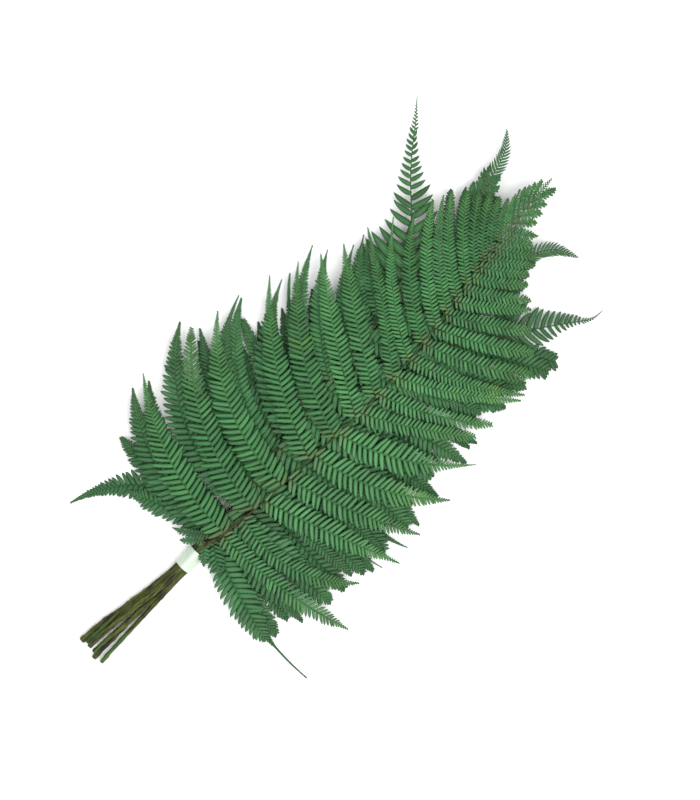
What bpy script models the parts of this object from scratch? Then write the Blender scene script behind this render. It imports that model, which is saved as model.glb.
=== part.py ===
"""Tied bunch of fern fronds, lying flat: six fronds in layers and a tape round their stems.

Lengths below are in millimetres. X runs along the stems towards the tips, Y to the left seen
from above, Z up. Positions are measured from the middle of the tie's flat underside.
"""

import math
import random

import bmesh
import bpy
import numpy as np

MM = 0.001

# Tie and stems
STEM_R = 2.35          # stem radius in the tie
STEM_END_R = 1.95      # at its cut end
RACHIS_R = 1.75        # where the leaves start
RACHIS_TAPER = 1.15    # how much of it is lost by the tip
STEM_PITCH = 5.0       # distance between neighbouring stems in the tie
RACHIS_STEPS = 12
TIE_LENGTH = 20.5
TIE_WALL = 0.75
TIE_GAP = 0.35
TIE_SIDES = 6          # arc steps at each rounded corner

# Layers
BLADE = 0.8            # thickness of a blade
EDGE_PITCH = 1.95      # distance between layers at the margins
AXIS_PITCH = 4.15      # and over the stems' end of the stack
PITCH_LOSS = 1.5       # how much of it is lost by the tips
STACK_Y = -3.0
STACK_HALF = 52.0
ARCH = 2.0             # how far the lowest layer rises off the surface
ARCH_Y = 8.0
ARCH_HALF = 88.0
LAYERED_X = 44.0       # from here on the rachises lie one above the other

# Leaflets
WEB = 0.9              # half width of the green wing along a costa
LEAFLET_WIDTH = 15.5   # how far a leaflet reaches from its costa, measured square to it
TOOTH_TOP = 15.0       # leaflet pitch on the top frond
TOOTH_LOW = 24.0       # leaflet pitch on the fronds under it

# A pinna's half width, as shares of its widest, at shares of its length: for a plain end, one
# that is drawn out and one that is blunt
ALONG = (0.0, 0.2, 0.5, 0.68, 0.82, 0.92, 1.0)
EVEN = (0.86, 1.0, 1.0, 0.74, 0.44, 0.20, 0.06)
DRAWN = (0.86, 1.0, 0.88, 0.46, 0.19, 0.09, 0.03)
BLUNT = (0.86, 1.0, 1.0, 0.98, 0.88, 0.64, 0.25)
SHOULDER = 0.62        # where a short pinna at a frond's end starts to taper, and
SHOULDER_ROOM = 0.40   # its half width there, as a share of the distance to the next one
SHOULDER_MOST = 4.5
RACHIS_ROOM = 1.4      # what it leaves free beside the rachis
END_BOW = 0.09         # how far it bows, as a share of its length

# Each frond: layer, stem place in the tie, stem end, rachis, and pinnae as
# (x on the rachis, tip x, tip y, bow, thin): thin 1 draws the end out, -1 keeps it blunt.
# end_left and end_right are the short pinnae at the frond's end, as many on each side, one plain
# blade each: (x on the rachis, tip x, tip y).
TIE_Y = {"bottom_right": (-1, 0), "bottom": (0, 0), "bottom_left": (1, 0),
         "middle_right": (-0.5, 1), "middle_left": (0.5, 1), "top": (0, 2)}

FRONDS = {
    "frond_1": {
        "level": 5, "place": "top", "end": (-120, 11.2, 10.6), "bow": 0.075,
        "rachis": [(60, -9), (90, -13), (130, -15), (190, -20), (260, -20), (310, -15),
                   (350, -10), (400, -4), (450, 0), (479, 1)],
        "left": [(43, 94, 148, 0.09, 0.7), (75, 155, 145, 0.11, -0.4),
                 (108, 182, 138, 0.12, 0.0), (142, 239, 127, 0.07, 0.6),
                 (172, 265, 116, 0.08, 0.4), (198, 284, 106, 0.04, 0.4),
                 (223, 305, 98, 0.045, 0.2), (246, 331, 92, 0.015, 0.3),
                 (268, 355, 82, 0.06, 0.8), (289, 373, 72, 0.07, 0.4),
                 (308, 390, 66, 0.06, -0.6), (325, 400, 62, 0.06, -0.3),
                 (341, 409, 60, 0.06, -0.5)],
        "right": [(43, 55, -148, 0.045, -0.2), (62, 92, -127, 0.15, 0.5),
                  (87, 130, -141, 0.01, 0.4), (116, 162, -137, 0.03, 0.3),
                  (148, 203, -134, 0.08, 0.3), (177, 243, -129, 0.08, 0.9),
                  (204, 261, -111, 0.03, -0.9), (228, 279, -114, 0.05, -0.8),
                  (250, 313, -118, 0.04, -0.8), (270, 319, -117, 0.05, -0.9),
                  (289, 337, -109, 0.05, -0.8), (306, 352, -96, 0.03, -0.6),
                  (322, 365, -80, 0.03, -0.6), (336, 379, -67, 0.03, -0.8)],
        "end_left": [(355, 417, 48), (368, 423, 39), (380, 429, 31), (392, 434, 25),
                     (403, 439, 18), (413, 445, 15), (422, 451, 15), (431, 457, 12),
                     (440, 462, 10), (449, 468, 7), (459, 473, 4)],
        "end_right": [(350, 385, -61), (363, 393, -49), (375, 401, -44), (386, 409, -41),
                      (397, 416, -36), (407, 422, -28), (416, 431, -22), (425, 439, -17),
                      (434, 450, -13), (443, 462, -10), (454, 474, -7)],
    },
    "frond_2": {
        "level": 4, "place": "middle_left", "end": (-119, 15.8, 6.2), "bow": 0.07,
        "rachis": [(60, 4), (110, 10), (200, 20), (280, 28), (325, 38), (350, 56), (370, 74),
                   (390, 94), (410, 111), (430, 126), (449, 142)],
        "left": [(44, 78, 146, 0.12, 0.2), (72, 151, 156, 0.15, 0.1),
                 (110, 206, 134, 0.17, 1.0), (146, 244, 116, 0.11, 0.6),
                 (178, 285, 117, 0.08, 0.0), (206, 291, 104, 0.07, 0.0),
                 (233, 311, 90, 0.07, 0.2), (258, 324, 90, 0.05, -0.3),
                 (281, 322, 84, 0.05, 0.3)],
        "right": [(52, 70, -95), (92, 110, -88), (130, 152, -82), (166, 190, -74),
                  (198, 226, -64), (228, 258, -52), (256, 288, -40), (283, 316, -26),
                  (307, 346, -14)],
        "end_left": [(328, 331, 84), (337, 340, 84), (346, 348, 86), (355, 359, 90),
                     (364, 367, 92), (370, 372, 97), (377, 380, 101), (384, 387, 105),
                     (391, 394, 109), (398, 401, 114), (405, 408, 117), (413, 416, 122),
                     (421, 424, 128), (430, 432, 133)],
        "end_right": [(318, 352, 38), (331, 366, 42), (341, 376, 49), (347, 384, 55),
                      (356, 390, 65), (364, 395, 71), (372, 399, 79), (379, 400, 86),
                      (386, 404, 93), (393, 408, 100), (401, 413, 106), (409, 419, 112),
                      (417, 426, 118), (427, 435, 125)],
    },
    "frond_3": {
        "level": 3, "place": "middle_right", "end": (-121, 6.6, 8.4), "bow": 0.07,
        "rachis": [(60, 0), (110, 2), (200, 5), (300, 9), (365, 15), (405, 27), (435, 40),
                   (465, 48), (484, 62)],
        "left": [(47, 93, 140, 0.12, 0.2), (84, 159, 139, 0.0, 0.1),
                 (120, 206, 131, 0.11, 0.4), (156, 219, 101, 0.07, 0.0),
                 (190, 253, 115, 0.10, 0.3), (220, 277, 74, 0.06, 0.0),
                 (248, 318, 85, 0.07, -0.2), (275, 342, 72, 0.06, 0.0),
                 (301, 362, 66, 0.06, -0.2), (325, 380, 62, 0.06, -0.4),
                 (342, 389, 65, 0.05, -0.2)],
        "right": [(54, 37, -109, 0.08, 0.0), (88, 92, -117, 0.0, -0.5),
                  (104, 118, -133, 0.06, 1.0), (130, 134, -122, 0.0, -0.6),
                  (156, 162, -124, 0.0, -0.6), (184, 206, -98), (214, 242, -88),
                  (246, 280, -80), (278, 312, -66), (308, 348, -48), (334, 372, -34)],
        "end_left": [(358, 408, 60), (371, 419, 52), (383, 426, 50), (395, 433, 49),
                     (406, 439, 50), (418, 446, 51), (430, 451, 51), (442, 457, 53),
                     (454, 465, 55), (466, 473, 60)],
        "end_right": [(354, 392, -22), (369, 404, -12), (383, 413, -2), (396, 423, 8),
                      (407, 430, 18), (417, 437, 27), (428, 445, 34), (440, 455, 39),
                      (452, 468, 45), (465, 478, 53)],
    },
    "frond_4": {
        "level": 2, "place": "bottom_right", "end": (-124, -6.5, 2.6), "bow": 0.05,
        "rachis": [(60, -8), (110, -18), (200, -26), (300, -31), (380, -32), (416, -34),
                   (433, -44), (440, -55), (444, -67)],
        "left": [(47, 35, 122, 0.02, 0.2), (84, 118, 112), (120, 164, 108),
                 (154, 192, 117, 0.05, -0.4), (188, 230, 95), (218, 262, 80), (246, 290, 64),
                 (274, 316, 48), (300, 344, 34), (322, 366, 18)],
        "right": [(44, -9, -101, -0.05, -0.7), (73, 61, -119, 0.05, -0.5),
                  (104, 101, -124, 0.0, -0.4), (133, 130, -123, 0.0, -0.8),
                  (167, 167, -131, 0.0, 0.1), (196, 204, -106, 0.0, -0.4),
                  (222, 238, -123, 0.0, 0.0), (256, 280, -100, 0.0, -0.2),
                  (281, 312, -106, 0.0, -0.4), (304, 350, -117, 0.0, -0.7)],
        "end_left": [(340, 382, 8), (356, 395, -4), (370, 407, -13), (384, 415, -21),
                     (396, 423, -28), (408, 432, -33), (419, 438, -40), (428, 444, -47),
                     (436, 446, -57)],
        "end_right": [(332, 362, -62), (348, 377, -55), (362, 390, -49), (378, 402, -45),
                      (391, 411, -43), (403, 420, -45), (414, 427, -50), (424, 433, -57),
                      (434, 439, -63)],
    },
    "frond_5": {
        "level": 1, "place": "bottom", "end": (-126, 1.4, 2.4), "bow": 0.05,
        "rachis": [(60, -2), (110, -18), (200, -38), (300, -52), (348, -68), (377, -88),
                   (405, -109), (412, -114), (425, -116)],
        "left": [(54, 60, 100), (94, 112, 92), (132, 158, 82), (168, 200, 72),
                 (202, 238, 58), (234, 272, 42), (264, 304, 24), (292, 334, 8),
                 (316, 358, -12)],
        "right": [(54, 28, -114, 0.08, -0.2), (88, 78, -122, 0.03, -0.4),
                  (122, 108, -128, 0.02, -0.2), (150, 145, -137, 0.10, 1.2),
                  (192, 202, -124, 0.0, -0.3), (224, 256, -117, 0.0, 0.2),
                  (254, 299, -112, 0.0, -0.4), (281, 326, -112, 0.0, -0.6),
                  (313, 361, -117, -0.03, -0.7)],
        "end_left": [(336, 370, -50), (343, 380, -58), (351, 386, -67), (358, 391, -76),
                     (365, 395, -83), (372, 399, -89), (378, 401, -95), (385, 404, -100),
                     (393, 406, -104), (403, 412, -107)],
        "end_right": [(345, 346, -92), (352, 354, -96), (360, 363, -99), (368, 374, -101),
                      (375, 382, -103), (381, 388, -105), (387, 394, -107), (393, 399, -110),
                      (400, 404, -115), (407, 412, -119)],
    },
    "frond_6": {
        "level": 0, "place": "bottom_left", "end": (-122, 20.3, 2.6), "bow": 0.06,
        "rachis": [(60, 5), (110, 8), (200, 8), (290, 2), (350, -10), (372, -16)],
        "left": [(46, -40, 115, -0.20, 0.7), (84, 112, 118), (112, 144, 118),
                 (138, 176, 110, 0.05, -0.3), (160, 200, 105, 0.06, 0.0), (188, 224, 98),
                 (219, 256, 90), (248, 288, 78), (275, 312, 66)],
        "right": [(54, -6, -138, 0.08, 1.6), (78, 64, -108), (104, 100, -115),
                  (141, 146, -110), (174, 186, -108), (196, 214, -113, 0.0, -0.4),
                  (218, 234, -106), (242, 266, -104), (268, 296, -90)],
        "end_left": [(296, 322, 48), (310, 334, 38), (324, 346, 26), (338, 356, 12),
                     (352, 366, -2)],
        "end_right": [(296, 316, -62), (310, 330, -54), (324, 344, -46), (338, 356, -36),
                      (352, 366, -26)],
    },
}

COLOURS = {
    "frond_1": (0.075, 0.215, 0.085), "frond_2": (0.068, 0.195, 0.08),
    "frond_3": (0.07, 0.2, 0.082), "frond_4": (0.062, 0.185, 0.072),
    "frond_5": (0.055, 0.165, 0.07), "frond_6": (0.055, 0.16, 0.068),
    "tie_band": (0.88, 0.92, 0.88),
}


def clear_scene():
    for thing in list(bpy.data.objects):
        bpy.data.objects.remove(thing, do_unlink=True)


def new_collection(name):
    group = bpy.data.collections.new(name)
    bpy.context.scene.collection.children.link(group)
    return group


def material(name, colour, roughness):
    made = bpy.data.materials.new(name)
    made.use_nodes = True
    shader = made.node_tree.nodes["Principled BSDF"]
    shader.inputs["Base Color"].default_value = (*colour, 1.0)
    shader.inputs["Roughness"].default_value = roughness
    shader.inputs["Metallic"].default_value = 0.0
    return made


def smooth(t):
    t = min(max(t, 0.0), 1.0)
    return t * t * (3.0 - 2.0 * t)


def layer_z(x, y, level):
    """Height of a layer's blades: stacked over the stems, close together at the margins."""
    heap = math.exp(-(((y - STACK_Y) / STACK_HALF) ** 2))
    along = smooth((x - LAYERED_X) / 380.0)
    pitch = EDGE_PITCH + (AXIS_PITCH - EDGE_PITCH - PITCH_LOSS * along) * heap
    across = min(abs(y - ARCH_Y) / ARCH_HALF, 1.0)
    base = BLADE / 2.0 + ARCH * (1.0 - across * across) ** 1.5
    return base + level * pitch


def tie_place(place):
    across, row = TIE_Y[place]
    first = STEM_R + TIE_GAP + TIE_WALL
    return across * STEM_PITCH, first + row * STEM_PITCH * math.sqrt(3.0) / 2.0


def through(points, x):
    """Y of the rachis at x, by a smooth curve through its points."""
    xs = [p[0] for p in points]
    k = max(0, min(len(xs) - 2, int(np.searchsorted(xs, x)) - 1))
    x0, x1 = xs[k], xs[k + 1]
    y0, y1 = points[k][1], points[k + 1][1]
    slope = []
    for i in (k, k + 1):
        a, b = max(i - 1, 0), min(i + 1, len(xs) - 1)
        slope.append((points[b][1] - points[a][1]) / (xs[b] - xs[a]))
    t = (x - x0) / (x1 - x0)
    h = x1 - x0
    return ((2 * t**3 - 3 * t**2 + 1) * y0 + (t**3 - 2 * t**2 + t) * h * slope[0]
            + (3 * t**2 - 2 * t**3) * y1 + (t**3 - t**2) * h * slope[1])


def rachis_radius(spec, x):
    last = spec["rachis"][-1][0]
    t = min(max((x - LAYERED_X) / (last - LAYERED_X), 0.0), 1.0)
    return RACHIS_R - RACHIS_TAPER * t ** 0.8


def stem_points(spec):
    """The stem's centre line and radius from its cut end to where the leaf tip's blade takes over."""
    ty, tz = tie_place(spec["place"])
    ex, ey, ez = spec["end"]
    half = TIE_LENGTH / 2.0
    rows = []
    for t in (0.0, 0.25, 0.5, 0.75):
        bend = t * t * (3.0 - 2.0 * t) * 0.5 + t * 0.5
        rows.append((ex + (-half - 4 - ex) * t, ey + (ty - ey) * bend, ez + (tz - ez) * bend,
                     STEM_END_R + (STEM_R - STEM_END_R) * t))
    rows += [(-half - 4.0, ty, tz, STEM_R), (half + 2.0, ty, tz, STEM_R)]
    start = half + 2.0
    y_end = through([(LAYERED_X - 20, spec["rachis"][0][1] * 0.5)] + spec["rachis"], LAYERED_X)
    z_end = layer_z(LAYERED_X, y_end, spec["level"])
    for t in (0.25, 0.5, 0.75):
        e = smooth(t)
        rows.append((start + (LAYERED_X - start) * t, ty + (y_end - ty) * e,
                     tz + (z_end - tz) * e, STEM_R + (RACHIS_R - STEM_R) * t))
    rows.append((LAYERED_X, y_end, z_end, RACHIS_R))
    path = [(LAYERED_X, y_end)] + spec["rachis"]
    stop = max(spec["end_left"][0][0], spec["end_right"][0][0]) + 6.0
    for i in range(1, RACHIS_STEPS + 1):
        x = LAYERED_X + (stop - LAYERED_X) * i / RACHIS_STEPS
        y = through(path, x)
        rows.append((x, y, layer_z(x, y, spec["level"]), rachis_radius(spec, x)))
    return rows, path


def tube(name, rows, sides, group):
    curve = bpy.data.curves.new(name, "CURVE")
    curve.dimensions = "3D"
    curve.bevel_depth = MM
    curve.bevel_resolution = (sides - 4) // 2
    curve.use_fill_caps = True
    line = curve.splines.new("POLY")
    line.points.add(len(rows) - 1)
    for point, (x, y, z, r) in zip(line.points, rows):
        point.co = (x * MM, y * MM, z * MM, 1.0)
        point.radius = r
    shape = bpy.data.objects.new(name, curve)
    group.objects.link(shape)
    return as_mesh(shape, group)


def as_mesh(shape, group):
    """Turn a curve object into a closed mesh object of the same name."""
    name = shape.name
    bpy.context.view_layer.update()
    ready = shape.evaluated_get(bpy.context.evaluated_depsgraph_get())
    mesh = bpy.data.meshes.new_from_object(ready)
    made = bpy.data.objects.new(name, mesh)
    made.matrix_world = shape.matrix_world
    group.objects.link(made)
    bpy.data.objects.remove(shape, do_unlink=True)
    made.name = name
    work = bmesh.new()
    work.from_mesh(mesh)
    bmesh.ops.remove_doubles(work, verts=work.verts, dist=0.000001)
    bmesh.ops.recalc_face_normals(work, faces=work.faces)
    work.to_mesh(mesh)
    work.free()
    return made


def bowed(start, tip, bow, side):
    """Costa from the rachis to the pinna's tip, bowed towards the stem end."""
    s, t = np.array(start), np.array(tip)
    run = t - s
    back = np.array((-run[1], run[0])) * side
    mid = (s + t) / 2.0 + back * bow * 2.0
    u = np.linspace(0.0, 1.0, 41)[:, None]
    return (1 - u) ** 2 * s + 2 * u * (1 - u) * mid + u**2 * t


def at(line, t):
    f = t * (len(line) - 1)
    k = min(int(f), len(line) - 2)
    return line[k] + (line[k + 1] - line[k]) * (f - k)


def heading(line, t):
    d = at(line, min(t + 0.02, 1.0)) - at(line, max(t - 0.02, 0.0))
    return d / np.linalg.norm(d)


def half_width(t, thin):
    """A pinna's half width along its costa, as a share of its widest."""
    plain = float(np.interp(t, ALONG, EVEN))
    other = float(np.interp(t, ALONG, DRAWN if thin > 0 else BLUNT))
    return max(plain + (other - plain) * abs(thin), 0.03)


def blade(name, level, rims, teeth, end, group):
    """A flat closed blade on its layer: a strip between two rims of as many points, ended by a
    point, with teeth on the rims' outer sides. A tooth is (side, rim index, its outer points)."""
    work = bmesh.new()

    def put(p):
        x, y = float(p[0]), float(p[1])
        return work.verts.new((x * MM, y * MM, (layer_z(x, y, level) - BLADE / 2.0) * MM))

    tail = put(end)
    rows = {side: [put(p) for p in rims[side]] + [tail] for side in (1, -1)}
    left, right = rows[1], rows[-1]
    for k in range(len(left) - 2):
        work.faces.new((left[k], right[k], right[k + 1]))
        work.faces.new((left[k], right[k + 1], left[k + 1]))
    work.faces.new((left[-2], right[-2], left[-1]))
    for side, k, outer in teeth:
        near, far = rows[side][k], rows[side][k + 1]
        points = [put(p) for p in outer]
        if len(points) == 1:
            work.faces.new((near, points[0], far))
        else:
            work.faces.new((near, points[0], points[2]))
            work.faces.new((near, points[2], far))
            work.faces.new((points[0], points[1], points[2]))
    bmesh.ops.recalc_face_normals(work, faces=work.faces)
    raised = bmesh.ops.extrude_face_region(work, geom=work.faces[:])
    moved = [v for v in raised["geom"] if isinstance(v, bmesh.types.BMVert)]
    bmesh.ops.translate(work, verts=moved, vec=(0.0, 0.0, BLADE * MM))
    bmesh.ops.recalc_face_normals(work, faces=work.faces)
    mesh = bpy.data.meshes.new(name)
    work.to_mesh(mesh)
    work.free()
    group.objects.link(bpy.data.objects.new(name, mesh))


def pinna(name, line, level, count, reach, first, group):
    """A pinna cut to its rib: one leaflet each side of every step along the costa."""
    steps = [first + (0.985 - first) * (i / count) ** 0.97 for i in range(count + 1)]

    def square(t):
        d = heading(line, t)
        return np.array((-d[1], d[0]))

    root = line[0] - heading(line, 0.0) * 0.3
    rims = {1: [], -1: []}
    teeth = []
    for side in (1, -1):
        rims[side].append(root + square(0.0) * side * min(WEB, 0.75))
        for t in steps[:-1]:
            rims[side].append(at(line, t) + square(t) * side * WEB * (1.0 - 0.6 * t))
        for k in range(count):
            mid = steps[k] + (steps[k + 1] - steps[k]) * 0.35
            lean = math.radians(62.0 - 22.0 * mid)
            far = reach(mid)
            d = heading(line, mid)
            out = np.array((-d[1], d[0])) * side
            teeth.append((side, k + 1, [at(line, mid) + out * far + d * far / math.tan(lean)]))
    blade(name, level, rims, teeth, line[-1], group)


def leaf_tip(name, spec, path, group):
    """The frond's end: a strip along the rachis, and a plain shouldered blade for each pinna."""
    rims = {1: [], -1: []}
    teeth = []
    last = spec["rachis"][-1][0]
    rachis = np.array([(x, through(path, x)) for x in np.linspace(LAYERED_X, last, 400)])
    for side, key in ((1, "end_left"), (-1, "end_right")):
        xs = [x for x, _, _ in spec[key]]
        marks = [xs[0] - 4.0] + [(a + b) / 2.0 for a, b in zip(xs, xs[1:])]
        marks.append(min(xs[-1] + (xs[-1] - xs[-2]) / 2.0, last - 4.0))
        for x in marks:
            here = np.array((x, through(path, x)))
            ahead = np.array((x + 1.0, through(path, x + 1.0))) - here
            out = np.array((-ahead[1], ahead[0])) / np.linalg.norm(ahead)
            rims[side].append(here + out * side * WEB)
        axes = []
        for k, (x, tip_x, tip_y) in enumerate(spec[key]):
            foot = (rims[side][k] + rims[side][k + 1]) / 2.0
            axes.append(bowed(foot, (tip_x, tip_y), END_BOW, side))
        for k, axis in enumerate(axes):
            beside = [axes[j] for j in (k - 1, k + 1) if 0 <= j < len(axes)]
            middle = at(axis, SHOULDER)
            room = min(nearest(middle, beside) * SHOULDER_ROOM,
                       nearest(middle, [rachis]) - RACHIS_ROOM)
            half = min(max(room, 0.3), SHOULDER_MOST)
            run = heading(axis, SHOULDER)
            out = np.array((-run[1], run[0])) * half * side
            teeth.append((side, k, [middle + out, axis[-1], middle - out]))
    end = np.array((last, through(path, last)))
    blade(name, spec["level"], rims, teeth, end, group)


def nearest(point, lines):
    best = 1e9
    for line in lines:
        best = min(best, float(np.min(np.linalg.norm(line - point, axis=1))))
    return best


def build_frond(name, spec, group):
    pieces = new_collection(name + "_pieces")
    rows, path = stem_points(spec)
    body = tube(name, rows, 8, group)
    draw = random.Random(name)
    pitch = TOOTH_TOP if spec["level"] == 5 else TOOTH_LOW
    costae = {1: [], -1: []}
    ends = {1: [], -1: []}
    for side, key in ((1, "left"), (-1, "right")):
        for x, tip_x, tip_y, *own in spec[key]:
            y = through(path, x)
            bow = spec["bow"] * (0.85 + 0.3 * draw.random()) * (1.0 if side == 1 else 0.35)
            bow, thin = own if own else (bow, 0.2)
            costae[side].append(bowed((x, y), (tip_x, tip_y), bow, side))
            ends[side].append(thin)
    for side in (1, -1):
        for i, line in enumerate(costae[side]):
            beside = [costae[side][j] for j in (i - 1, i + 1) if 0 <= j < len(costae[side])]
            size = float(np.linalg.norm(line[-1] - line[0]))
            count = max(3, round(size / pitch))

            def reach(t, line=line, beside=beside, thin=ends[side][i]):
                here = at(line, t)
                room = nearest(here, beside) * 0.47 if beside else 40.0
                return max(min(LEAFLET_WIDTH, room) * half_width(t, thin), 0.9)

            first = min(6.5 / size, 0.3)
            pinna(f"{name}_{side}_{i}", line, spec["level"], count, reach, first, pieces)
    leaf_tip(f"{name}_tip", spec, path, pieces)
    join = body.modifiers.new("join", "BOOLEAN")
    join.operation = "UNION"
    join.operand_type = "COLLECTION"
    join.collection = pieces
    join.solver = "EXACT"
    bpy.context.view_layer.update()
    ready = body.evaluated_get(bpy.context.evaluated_depsgraph_get())
    mesh = bpy.data.meshes.new_from_object(ready)
    body.modifiers.clear()
    body.data = mesh
    for extra in list(pieces.objects):
        bpy.data.objects.remove(extra, do_unlink=True)
    bpy.data.collections.remove(pieces)
    body.data.materials.clear()
    body.data.materials.append(material(name, COLOURS[name], 0.45))
    return body


def hull_outline(grow):
    """Outline round the three corner stems of the pile, grown by a distance."""
    first = STEM_R + TIE_GAP + TIE_WALL
    top = first + STEM_PITCH * math.sqrt(3.0)
    corners = [(-STEM_PITCH, first, 210), (STEM_PITCH, first, 330), (0.0, top, 90)]
    points = []
    for y, z, middle in corners:
        for k in range(TIE_SIDES + 1):
            a = math.radians(middle - 60 + 120 * k / TIE_SIDES)
            points.append((y + grow * math.cos(a), z + grow * math.sin(a)))
    return points


def build_tie(group):
    curve = bpy.data.curves.new("tie_band", "CURVE")
    curve.dimensions = "2D"
    curve.fill_mode = "BOTH"
    curve.extrude = TIE_LENGTH / 2.0 * MM
    for grow in (STEM_R + TIE_GAP + TIE_WALL, STEM_R + TIE_GAP):
        outline = hull_outline(grow)
        line = curve.splines.new("POLY")
        line.points.add(len(outline) - 1)
        for point, (y, z) in zip(line.points, outline):
            point.co = (y * MM, z * MM, 0.0, 1.0)
        line.use_cyclic_u = True
    shape = bpy.data.objects.new("tie_band", curve)
    shape.rotation_euler = (math.radians(90), 0.0, math.radians(90))
    group.objects.link(shape)
    band = as_mesh(shape, group)
    band.data.materials.append(material("tie_band", COLOURS["tie_band"], 0.5))
    return band


def main():
    clear_scene()
    group = new_collection("fern_bunch")
    for name, spec in FRONDS.items():
        build_frond(name, spec, group)
    build_tie(group)


main()
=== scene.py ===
import math
import random

import bpy
import numpy as np
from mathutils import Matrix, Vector


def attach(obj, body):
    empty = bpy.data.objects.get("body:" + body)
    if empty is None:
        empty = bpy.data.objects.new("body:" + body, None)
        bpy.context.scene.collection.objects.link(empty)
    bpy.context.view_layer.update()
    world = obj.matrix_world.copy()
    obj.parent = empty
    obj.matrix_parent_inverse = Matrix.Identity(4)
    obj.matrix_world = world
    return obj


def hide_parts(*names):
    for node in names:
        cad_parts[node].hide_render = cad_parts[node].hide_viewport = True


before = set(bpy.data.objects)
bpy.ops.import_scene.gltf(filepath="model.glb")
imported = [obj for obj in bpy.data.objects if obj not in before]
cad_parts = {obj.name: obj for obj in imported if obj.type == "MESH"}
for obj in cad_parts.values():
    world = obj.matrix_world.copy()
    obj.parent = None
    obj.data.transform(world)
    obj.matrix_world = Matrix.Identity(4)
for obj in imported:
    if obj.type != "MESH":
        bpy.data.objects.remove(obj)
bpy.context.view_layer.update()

# A tied bunch of fern fronds, lying flat and seen from above. Lengths in this file are in
# millimetres, in the CAD's frame: X along the stems to the tips, Y to the left, Z up.
MM = 0.001

# Tie and stems
STEM_R = 2.35             # in the tie
STEM_PITCH = 5.0
TIE_LENGTH = 20.5
TIE_WALL = 0.75
TIE_GAP = 0.35
TIE_Y = {"bottom_right": (-1, 0), "bottom": (0, 0), "bottom_left": (1, 0),
         "middle_right": (-0.5, 1), "middle_left": (0.5, 1), "top": (0, 2)}
LAYERED_X = 44.0          # where the fronds lie in layers
ROOT_R = 1.4              # radius of the rachis where the layers start
RACHIS_R = 0.58           # and further on
RACHIS_SUNK = 0.25        # how far it lies under the blades
STALK_SIDES = 14

# Leaflets
TOP_LEVEL = 5
TOP_ARCH, UNDER_ARCH = 2.2, 0.15  # how far a pinna arches up
LEAFLET_REACH = 17.0      # widest half width of a pinna
LEAFLET_PITCH = 1.06      # spacing, to what the leaflets' size asks for
FIRST_LEAFLET = 0.7       # from the rachis
BROWN_X = 10.0            # length of the brown at a pinna's root
CURL = 0.4                # bend of a single leaflet, radians

# Half width along a leaflet, to its widest: shares of the length, and widths
STRAP = ((0.0, 0.12, 0.3, 0.55, 0.75, 0.9, 1.0), (0.92, 0.98, 1.0, 0.95, 0.80, 0.52, 0.0))
DRAWN_OUT = ((0.0, 0.12, 0.3, 0.55, 0.75, 0.9, 1.0), (0.72, 0.92, 1.0, 0.90, 0.64, 0.34, 0.0))
# Places and heights of the points across a leaflet's back
ACROSS = np.array((1.0, 0.55, 0.0, -0.55, -1.0))
DOME = np.array((0.0, 0.9, 0.72, 0.9, 0.0))

# A pinna's half width along its costa, to its widest
ALONG = (0.0, 0.06, 0.18, 0.42, 0.5, 0.6, 0.68, 0.76, 0.82, 0.88, 0.92, 0.96, 1.0)
EVEN = np.array((0.80, 0.92, 1.0, 1.0, 1.0, 0.88, 0.74, 0.58, 0.44, 0.29, 0.20, 0.12, 0.06))
DRAWN = np.array((0.80, 0.92, 1.0, 1.0, 0.88, 0.66, 0.46, 0.29, 0.19, 0.12, 0.09, 0.06, 0.03))
BLUNT = np.array((0.80, 0.92, 1.0, 1.0, 1.0, 1.0, 0.98, 0.94, 0.88, 0.76, 0.64, 0.46, 0.25))

# Places where the top frond's leaflets have yellowed: x, y, size, share
AGED = ((165, -104, 9, 1.0), (191, -104, 8, 1.0), (231, -84, 6, 0.8), (271, -74, 5, 0.7),
        (300, -95, 6, 0.5), (120, 88, 5, 0.4), (212, 60, 5, 0.4), (352, 28, 4, 0.4))

# Tape
TAPE_AROUND, TAPE_ALONG = 96, 30
TAPE_SEAM = 0.60          # share of the way round where the outer end lies
TAPE_CREASES = 9

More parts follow.
